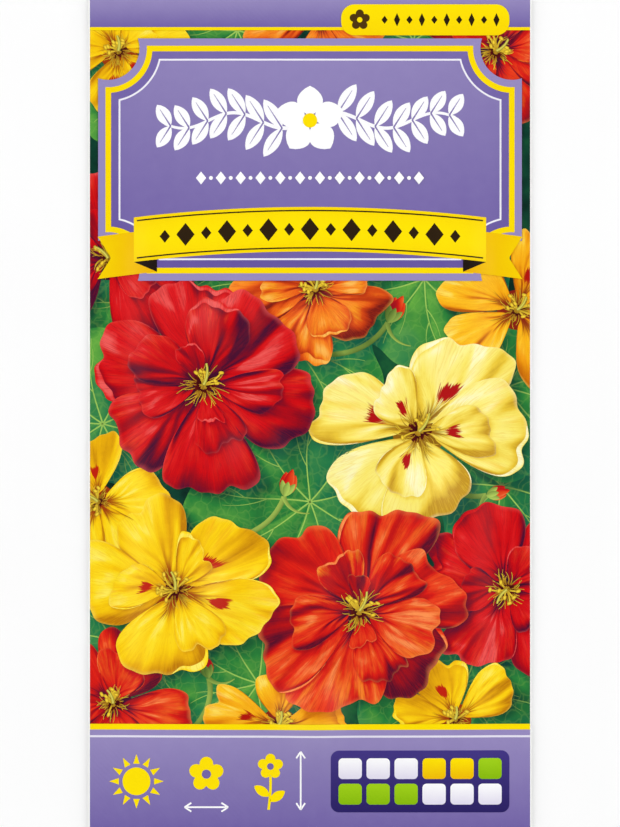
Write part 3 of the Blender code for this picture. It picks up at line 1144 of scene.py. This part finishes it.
def add_bud(patches, tip, heading, length, petals):
    """A bud on a bowed stem: a pointed roll of petals held by three sepals, and a thin spur."""
    end = math.radians(heading)
    share = np.linspace(0, 1, 40)
    stem = ray(tip, end + math.pi - 0.9 * share, 3.0 * length, 40)
    spur = ray(tip, end + math.pi + 0.5 + 0.8 * share, 0.9 * length, 40)
    across = np.linspace(0, 1, 4)[:, None]
    pieces = [(ribbon(stem, 1.0 + 0 * share, 4), 0.75 - 0.45 * across**2, STEM)]
    pieces.append((ribbon(spur, 0.9 * (1 - 0.8 * share), 4), 0.9 - 0.5 * across, STEM))
    rolls = ((-0.20, 0.72, 0.36), (0.22, 0.74, 0.34), (0.0, 0.86, 0.30))
    sepals = ((-0.42, 0.50, 0.20), (0.42, 0.50, 0.20), (0.02, 0.46, 0.20))
    for blades, rows, pale, fall, finish in ((rolls, 16, 0.62, 0.30, BUD), (sepals, 14, 0.75, 0.35, STEM)):
        for turn, reach, width in blades:
            grid = almond(tip, end + turn, reach * length, width * length, rows)
            pieces.append((grid, pale - fall * np.linspace(-1, 1, grid[0].shape[1]), finish))
    for (x, y), tone, finish in pieces:
        places = np.stack([x, y], axis=-1)
        tone = tone * cast_shade(places, LEAF_ORDER, NO_BLOOM, petals)
        hidden = hidden_below(places, LEAF_ORDER, petals)
        patches.add(x, y, tone, finish, hidden=hidden, chart=petal_chart(0, 0 * x, 0.6))


def web_sheet(name, x, y, top, bottom):
    """A closed sheet on a grid: an upper face, a lower face, and a wall round their edges."""
    upper, lower = (np.stack([x, y, z], axis=-1).reshape(-1, 3) for z in (top, bottom))
    index = np.arange(x.size).reshape(x.shape)
    quads = grid_quads(index)
    rim = np.concatenate([index[0, :-1], index[:-1, -1], index[-1, :0:-1], index[:0:-1, 0]])
    ahead = np.roll(rim, -1)
    wall = np.stack([rim + x.size, ahead + x.size, ahead, rim], axis=-1)
    mesh = bpy.data.meshes.new(name)
    faces = np.concatenate([quads, quads[:, ::-1] + x.size, wall])
    mesh.from_pydata(np.concatenate([upper, lower]), [], faces.tolist())
    finishes = np.repeat([0, 1, 2], [len(quads), len(quads), len(wall)])
    mesh.polygons.foreach_set("material_index", finishes)
    mesh.polygons.foreach_set("use_smooth", finishes < 2)
    mesh.set_sharp_from_angle(angle=math.radians(40))
    return mesh


def grid_quads(index):
    """The faces of a grid of point numbers, four corners each, facing up."""
    return np.stack([index[:-1, :-1], index[:-1, 1:], index[1:, 1:], index[1:, :-1]], axis=-1).reshape(-1, 4)


def web_grid(low, high, columns, rows):
    """Even places over a web, from its low corner to its high one."""
    return np.meshgrid(np.linspace(low.x, high.x, columns), np.linspace(low.y, high.y, rows))


def build_webs():
    """The front web, raised over the seeds, and the flat back web. Each is a grid with a wall."""
    sizes = bpy.context.scene.packet_sizes
    paper = paper_material()
    x, y = web_grid(BACK_LOW, BACK_HIGH, 18, 33)
    mesh = web_sheet("back_web_paper", x, y, 0 * x + BACK_HIGH.z, 0 * x + BACK_LOW.z)
    placed("back_web_paper", mesh, [paper, back_print_material(), paper], "back_web")
    columns, rows = (round(2 * half / sizes.grid) + 1 for half in (FRONT_HIGH.x, FRONT_HIGH.y))
    x, y = web_grid(FRONT_LOW, FRONT_HIGH, columns, rows)
    top = web_height(x, y)
    mesh = web_sheet("front_web_paper", x, y, top, np.maximum(top - sizes.sheet, BACK_HIGH.z))
    placed("front_web_paper", mesh, [backdrop_material(), paper, paper], "front_web")


def build_seed(node, finish):
    """The CAD seed's own form, made finer and wrinkled inwards along its normals."""
    bm = bmesh.new()
    bm.from_mesh(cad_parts[node].data)
    bmesh.ops.remove_doubles(bm, verts=bm.verts, dist=1e-6)
    bmesh.ops.subdivide_edges(bm, edges=bm.edges[:], cuts=1, use_grid_fill=True)
    mesh = bpy.data.meshes.new(f"{node}_skin")
    bm.to_mesh(mesh)
    bm.free()
    places, normals = np.zeros((2, len(mesh.vertices), 3), np.float32)
    mesh.vertices.foreach_get("co", places.ravel())
    mesh.vertices.foreach_get("normal", normals.ravel())
    x, y, z = places.T
    grain = np.sin(x * 6100 + 2 * np.sin(y * 2900)) * np.sin(y * 7300 + z * 5200)
    above = smooth_step((z - z.min()) / WRINKLE_START)
    places -= normals * (WRINKLE_DEPTH * (1 + grain) * above)[:, None]
    mesh.vertices.foreach_set("co", places.ravel())
    mesh.polygons.foreach_set("use_smooth", [True] * len(mesh.polygons))
    return placed(f"{node}_skin", mesh, [finish], node)


def ticket_outline(inset):
    """The plaque's outline as one closed path, anticlockwise, set in by inset all the way round: a
    hollow arc about each corner of the plaque, and the straight edges between them."""
    radius = PLAQUE_SCOOP + inset
    lean = math.asin(inset / radius)
    arcs = []
    for side_x, side_y, first in ((1, -1, 1.0), (1, 1, 1.5), (-1, 1, 0.0), (-1, -1, 0.5)):
        corner = np.array(PLAQUE_CENTRE) + np.array(PLAQUE_HALF) * (side_x, side_y)
        turn = first * math.pi - np.linspace(lean, math.pi / 2 - lean, 30)
        arcs.append(corner + radius * towards(turn))
    path = []
    for arc, following in zip(arcs, arcs[1:] + arcs[:1]):
        path += [arc, np.linspace(arc[-1], following[0], 130)[1:-1]]
    return np.concatenate(path)


def ticket_line(outer, inner):
    """A closed strip between two outlines of the plaque."""
    insets = np.linspace(outer, inner, int(abs(inner - outer) / CELL) + 2)
    return np.moveaxis(np.stack([ticket_outline(inset) for inset in insets]), -1, 0)


def ticket_face(inset):
    """The plaque's face, set in by inset, with closer columns under its hollow corners."""
    radius = PLAQUE_SCOOP + inset
    lean = math.asin(inset / radius)
    corner = PLAQUE_HALF[0] - radius * np.cos(np.linspace(lean, math.pi / 2 - lean, 24))
    columns = np.concatenate([-corner[:0:-1], even_columns(-corner[0], corner[0]), corner[1:]])
    to_corner = np.minimum(PLAQUE_HALF[0] - np.abs(columns), radius)
    dip = np.sqrt(np.maximum(radius**2 - to_corner**2, 0))
    half = PLAQUE_HALF[1] - np.maximum(dip, inset)
    return band(columns, lambda x: PLAQUE_CENTRE[1] - half, lambda x: PLAQUE_CENTRE[1] + half)


def print_inks():
    """The violet, yellow, white and dark inks, in the order of their slots."""
    violet = inked("violet_print", ink("violet_dark"), ink("violet_light"))
    yellow = inked("yellow_print", ink("gold"), ink("yellow"))
    white = inked("white_print", srgb(214, 208, 232), srgb(255, 255, 255))
    return [violet, yellow, white, inked("dark_print", srgb(30, 20, 12), srgb(78, 54, 14))]


def add_band(patches, low, high):
    """A violet band from side to side, darker at its foot."""
    x, y = full_band(low, high)
    return patches.add(x, y, 0.26 + 0.74 * (y - low) / (high - low), VIOLET)


def add_plate(patches, corners, radius, foot, finish, level=None):
    """A box with round corners, its tone rising from the one given for its foot to one at its top."""
    _, low, _, high = corners
    x, y = rounded_band(corners, radius)
    return patches.add(x, y, foot + (1 - foot) * (y - low) / (high - low), finish, level)


def build_header():
    """The violet strip, and the plaque with scooped corners, its lines and its leaf garland."""
    patches = Patches()
    level = add_band(patches, STRIP_FOOT, HALF_HEIGHT)
    patches.add(*full_band(STRIP_FOOT - STRIP_LINE, STRIP_FOOT), 0.9, YELLOW, level + 1)
    x, y = ticket_face(0.0)
    level = patches.add(x, y, 0.22 + 0.14 * (y - PLAQUE_CENTRE[1]) / PLAQUE_HALF[1], VIOLET)
    patches.add(*ticket_line(*HALO), 1.0, VIOLET, level + 1, wrap=True)
    patches.add(*ticket_line(*YELLOW_LINE), 0.85, YELLOW, level + 2, wrap=True)
    x, y = ticket_face(PANEL)
    rise = (y - PLAQUE_CENTRE[1]) / PLAQUE_HALF[1]
    patches.add(x, y, 0.56 + 0.34 * rise - 0.12 * (x / PLAQUE_HALF[0]) ** 2, VIOLET, level + 1)
    patches.add(*ticket_line(*WHITE_LINE), 0.6, WHITE, level + 2, wrap=True)
    add_garland(patches)
    add_dots(patches)
    add_tab(patches)
    return patches.build("print_header", print_inks())


def add_garland(patches):
    """A white garland: a waving stem, pairs of leaves along it, and a bloom in the middle."""
    middle_x, middle_y = GARLAND_CENTRE

    def wave(place):
        return middle_y + 1.5 * np.sin(place * 9.0)

    share = np.linspace(-1, 1, 140)
    stem = np.stack([middle_x + GARLAND_HALF * share, wave(share)], axis=1)
    level = patches.add(*ribbon(stem, 0.8 - 0.3 * np.abs(share)), 0.9, WHITE)
    for place in np.linspace(-0.96, 0.96, GARLAND_PLACES):
        if abs(place) < 0.13:
            continue
        at = (middle_x + GARLAND_HALF * place, wave(place))
        size = 7.0 - 2.2 * abs(place)
        for side in (1, -1):
            heading = side if place > 0 else math.pi - side
            patches.add(*almond(at, heading, size, 2.7), 0.95, WHITE, level + 1)
            midrib = ribbon(ray(at, heading, 0.78 * size, 12), np.linspace(0.32, 0.08, 12))
            patches.add(*midrib, 0.55, VIOLET, level + 2)
    for petal in range(5):
        heading = math.pi / 2 + math.tau * petal / 5
        base = np.array(GARLAND_CENTRE) + 0.9 * towards(heading)
        patches.add(*almond(base, heading, 5.8, 5.0), 1.0, WHITE, level + 4 + petal % 3)
    patches.disc(polar(GARLAND_CENTRE, 1.4, 4, 28), 0.9, YELLOW, level + 8)


def add_dots(patches):
    """A short row of white lozenges and dots under the garland."""
    for number, place in enumerate(np.linspace(-DOTS_HALF, DOTS_HALF, DOTS)):
        at = (DOTS_CENTRE[0] + place, DOTS_CENTRE[1])
        patches.disc(polar(at, 0.38, 3, 14) if number % 2 else lozenge(at, 1.0, 1.25), 0.95, WHITE)


def add_tab(patches):
    """A yellow tab with a flower sign and a row of lozenges."""
    left, low, _, high = TAB
    level = add_plate(patches, TAB, 2.6, 0.75, YELLOW)
    middle = (low + high) / 2
    add_flower_sign(patches, (left + 3.6, middle), 2.0, level + 1, (DARK, YELLOW))
    for number in range(10):
        shape = lozenge((left + 8.4 + 2.4 * number, middle), 0.6, 0.8 + 0.5 * (number % 2))
        patches.disc(shape, 0.15, DARK, level + 1)


def banner_line(x):
    """The ribbon's middle line: a parabola that sags by BANNER_SAG at SAG_REACH from its top."""
    return BANNER_MIDDLE - BANNER_SAG * (x / SAG_REACH) ** 2


def build_banner():
    """A yellow ribbon across the plaque's foot, with folded swallow tails and a row of dark lozenges."""
    patches = Patches()
    for side in (-1, 1):
        share = np.linspace(0, 1, 26)
        columns = TAIL_START + TAIL_LENGTH * share
        rows = np.linspace(-1, 1, 20)[:, None]
        x = side * (columns - TAIL_CLEFT * (1 - np.abs(rows)) * share**3)
        patches.add(x, banner_line(columns) - TAIL_DROP + rows * TAIL_HALF, 0.1 + 0.5 * share, RIBBON)
        fold = np.linspace(TAIL_START, BANNER_REACH, 10)
        drop = (1 - (fold - TAIL_START) / (BANNER_REACH - TAIL_START)) * FOLD_DROP
        y = banner_line(fold) - BANNER_HALF - drop * np.linspace(0, 1, 6)[:, None]
        patches.add(side * fold, y, 0.0, SHADOW)
    columns = even_columns(-BANNER_REACH, BANNER_REACH)
    x, y = band(columns, lambda x: banner_line(x) - BANNER_HALF, lambda x: banner_line(x) + BANNER_HALF)
    sheen = 0.28 * np.cos((y - banner_line(x)) / BANNER_HALF * 1.4) - 0.10 * (np.abs(x) / BANNER_REACH) ** 6
    patches.add(x, y, 0.72 + sheen, RIBBON)
    along = even_columns(0.6 - BANNER_REACH, BANNER_REACH - 0.6)
    for edge in (-BANNER_LINE, BANNER_LINE):
        patches.add(*ribbon(np.stack([along, banner_line(along) + edge], axis=1), 0.28), 0.4, SHADOW)
    for number, place in enumerate(np.linspace(-LOZENGE_REACH, LOZENGE_REACH, BANNER_LOZENGES)):
        size = 2.2 if number % 2 else 1.25
        patches.disc(lozenge((place, banner_line(place)), size * 0.8, size), 0.2, SHADOW)
    yellow = inked("ribbon_print", ink("gold"), ink("yellow"))
    return patches.build("print_banner", [yellow, print_inks()[DARK]])


def build_foot():
    """The violet foot band with its lines, the pictograms, and the calendar plate."""
    patches = Patches()
    level = add_band(patches, -HALF_HEIGHT, BAND_TOP)
    patches.add(*full_band(BAND_TOP, BAND_TOP + BAND_LINE), 0.9, YELLOW, level + 1)
    thin = full_band(BAND_TOP - THIN_DROP - THIN_LINE, BAND_TOP - THIN_DROP, THIN_LINE)
    patches.add(*thin, 0.3, WHITE, level + 1)
    add_sun(patches, level + 2)
    add_flower_sign(patches, FOOT_FLOWER, 3.4, level + 2)
    add_arrow(patches, *WIDTH_ARROW, level + 2)
    add_sprout_sign(patches, level + 2)
    add_arrow(patches, *HEIGHT_ARROW, level + 2)
    add_calendar(patches, level + 2)
    plate = inked("deep_violet_print", ink("deep_violet"), srgb(66, 54, 130))
    lime = inked("lime_print", srgb(126, 178, 4), ink("lime"))
    return patches.build("print_foot", [*print_inks()[:PLATE], plate, lime])


def add_sun(patches, level):
    """A disc with twelve pointed rays set off from it."""
    patches.disc(polar(SUN, 2.7, 7, 40), 0.95, YELLOW, level)
    share = np.linspace(0, 1, 5)
    for heading in math.tau * np.arange(12) / 12:
        start = np.array(SUN) + 3.4 * towards(heading)
        patches.add(*ribbon(ray(start, heading, 1.8, 5), 1.2 * (1 - share) + 0.05), 0.95, YELLOW, level)


def add_flower_sign(patches, centre, size, level, finishes=(YELLOW, VIOLET)):
    """Five round petals from one rosette curve, with an eye: the finishes of both are given."""
    petals, eye = finishes

    def rosette(turn):
        return size * (0.62 + 0.38 * np.abs(np.sin(2.5 * turn + 0.8)) ** 0.7)

    patches.disc(polar(centre, rosette, 8, 90), 0.95, petals, level)
    patches.disc(polar(centre, size * 0.26, 3, 24), 0.95 if eye else 0.3, eye, level + 2)


def add_sprout_sign(patches, level):
    """A stem with two leaves and a small bloom on top."""
    x, y = SPROUT
    turn = np.linspace(0, 2, 20)
    stem = np.stack([x + 0.4 * np.sin(turn), y + 3.3 * turn], axis=1)
    patches.add(*ribbon(stem, 0.5), 0.95, YELLOW, level)
    for height, heading in ((1.6, 0.6), (2.6, math.pi - 0.6)):
        patches.add(*almond((x + 0.2, y + height), heading, 3.6, 1.8), 0.95, YELLOW, level)
    add_flower_sign(patches, (stem[-1, 0], stem[-1, 1] + 1.8), 2.5, level + 1)


def add_arrow(patches, start, end, level):
    """A thin line with a barbed head at both ends."""
    start, end = np.array(start), np.array(end)
    patches.add(*ribbon(straight(start, end, CELL), 0.32), 1.0, WHITE, level)
    way = (end - start) / np.linalg.norm(end - start)
    side = np.array([-way[1], way[0]])
    for tip, back in ((start, way), (end, -way)):
        for turn in (1, -1):
            barb = straight(tip, tip + back * 1.3 + side * turn * 0.85, 0.4)
            patches.add(*ribbon(barb, 0.32), 1.0, WHITE, level + (turn > 0))


def add_calendar(patches, level):
    """A deep violet plate with twelve month boxes in two rows, filled for sowing and for flowering."""
    left, low, right, high = CALENDAR
    add_plate(patches, CALENDAR, 1.6, 0.0, PLATE, level)
    margin, gap, columns, rows = 1.5, 0.9, 6, 2
    width = (right - left - 2 * margin - gap * (columns - 1)) / columns
    height = (high - low - 2 * margin - gap * (rows - 1)) / rows
    for month in range(columns * rows):
        x0 = left + margin + (month % columns) * (width + gap)
        y0 = high - margin - height - (month // columns) * (height + gap)
        finish = YELLOW if month in (3, 4) else LIME if month in (5, 6, 7, 8) else WHITE
        add_plate(patches, (x0, y0, x0 + width, y0 + height), 0.8, 0.2, finish, level + 2)


def build_stage():
    """Camera straight above the packet, soft lights from both sides, a pale surround and the floor."""
    scene = bpy.context.scene
    stage = scene.packet_stage
    scene.view_settings.view_transform = "Standard"
    scene.view_settings.look = "None"
    camera = bpy.data.cameras.new("camera")
    camera.sensor_fit = "VERTICAL"
    camera.sensor_height = stage.sensor / MM
    camera.lens = stage.sensor / MM * stage.distance / stage.frame_height
    camera.clip_start = 0.05
    camera.clip_end = 20
    centre = (FRONT_LOW + FRONT_HIGH) / 2
    eye = bpy.data.objects.new("camera", camera)
    eye.location = (centre.x, centre.y, BACK_HIGH.z + stage.distance)
    scene.collection.objects.link(eye)
    scene.camera = eye
    for name, side in (("left_light", -1), ("right_light", 1)):
        add_light(name, (side * LIGHT_PLACE[0], *LIGHT_PLACE[1:]), LIGHT_SIZE, stage.key)
    add_surround(scene, stage.sky)
    add_floor(stage.floor)


def add_surround(scene, strength):
    """A pale surround, bright low down and dark overhead, so that the film shows no veil of gloss."""
    scene.world = bpy.data.worlds.new("surround")
    scene.world.use_nodes = True
    nodes = Nodes(scene.world.node_tree)
    height = nodes.parts(nodes.node("ShaderNodeTexCoord", {}).outputs["Generated"])[2]
    background = nodes.tree.nodes["Background"]
    background.inputs["Color"].default_value = (1, 1, 1, 1)
    fade = nodes.range(height, *SURROUND_FADE, strength, OVERHEAD_SHARE * strength)
    nodes.feed(background.inputs["Strength"], fade)


def add_light(name, place, size, power):
    """A square soft light aimed at the packet."""
    light = bpy.data.lights.new(name, "AREA")
    light.size = size
    light.energy = power
    obj = bpy.data.objects.new(name, light)
    obj.location = place
    obj.rotation_euler = (-obj.location).to_track_quat("-Z", "Y").to_euler()
    bpy.context.scene.collection.objects.link(obj)


def add_floor(colour, half=3.0, drop=0.00002):
    """A pale square just under the packet, faintly mottled."""
    x, y = np.meshgrid(np.linspace(-half, half, 5), np.linspace(-half, half, 5))
    mesh = bpy.data.meshes.new("floor")
    corners = np.stack([x, y, 0 * x - drop], axis=-1).reshape(-1, 3)
    mesh.from_pydata(corners, [], grid_quads(np.arange(x.size).reshape(x.shape)).tolist())
    shader = Shader("floor", 0.9, 0.1)
    mottle = shader.ramp(shader.noise(40), (0.0, srgb(250, 250, 250)), (1.0, tuple(colour)))
    mesh.materials.append(shader.finish(mottle))
    obj = bpy.data.objects.new("floor", mesh)
    bpy.context.scene.collection.objects.link(obj)


class PACKET_OT_stage(bpy.types.Operator):
    """Sets up the camera, the lights and the floor"""

    bl_idname = "packet.stage"
    bl_label = "Stage"

    def execute(self, context):
        build_stage()
        return {"FINISHED"}


class PACKET_OT_webs(bpy.types.Operator):
    """Makes the front and back webs in printed paper"""

    bl_idname = "packet.webs"
    bl_label = "Paper webs"

    def execute(self, context):
        build_webs()
        return {"FINISHED"}


class PACKET_OT_seeds(bpy.types.Operator):
    """Makes the wrinkled seeds inside"""

    bl_idname = "packet.seeds"
    bl_label = "Seeds"

    def execute(self, context):
        if not SEED_NODES:
            raise RuntimeError("the frame has no seeds")
        finish = seed_material()
        for node in SEED_NODES:
            build_seed(node, finish)
        return {"FINISHED"}


class PACKET_OT_picture(bpy.types.Operator):
    """Makes the leaves and blooms of the picture"""

    bl_idname = "packet.picture"
    bl_label = "Leaves and blooms"

    def execute(self, context):
        petals = all_petals()
        build_leaves(petals)
        for number, bloom in enumerate(BLOOMS):
            build_bloom(bloom, number, petals)
        return {"FINISHED"}


class PACKET_OT_graphics(bpy.types.Operator):
    """Makes the plaque, the ribbon, the foot band and the pictograms"""

    bl_idname = "packet.graphics"
    bl_label = "Bands and signs"

    def execute(self, context):
        build_header()
        build_banner()
        build_foot()
        return {"FINISHED"}


OPERATORS = (PACKET_OT_stage, PACKET_OT_webs, PACKET_OT_seeds, PACKET_OT_picture, PACKET_OT_graphics)


class PACKET_PT_panel(bpy.types.Panel):
    """Lists the pieces that can be built"""

    bl_idname = "PACKET_PT_panel"
    bl_label = "Seed packet"
    bl_space_type = "VIEW_3D"
    bl_region_type = "UI"
    bl_category = "Packet"

    def draw(self, context):
        for operator in OPERATORS:
            self.layout.operator(operator.bl_idname, text=operator.bl_label)


SETTINGS = {
    "packet_sizes": PacketSizes,
    "packet_print": PrintColours,
    "packet_petals": PetalColours,
    "packet_stage": StageSettings,
}


def register():
    for group in (*SETTINGS.values(), *OPERATORS, PACKET_PT_panel):
        bpy.utils.register_class(group)
    for name, group in SETTINGS.items():
        setattr(bpy.types.Scene, name, bpy.props.PointerProperty(type=group))


def unregister():
    for name in SETTINGS:
        delattr(bpy.types.Scene, name)
    for group in (PACKET_PT_panel, *reversed(OPERATORS), *reversed(SETTINGS.values())):
        bpy.utils.unregister_class(group)


def main():
    register()
    bpy.ops.packet.stage()
    bpy.ops.packet.webs()
    bpy.ops.packet.seeds()
    bpy.ops.packet.picture()
    bpy.ops.packet.graphics()


if __name__ == "__main__":
    main()
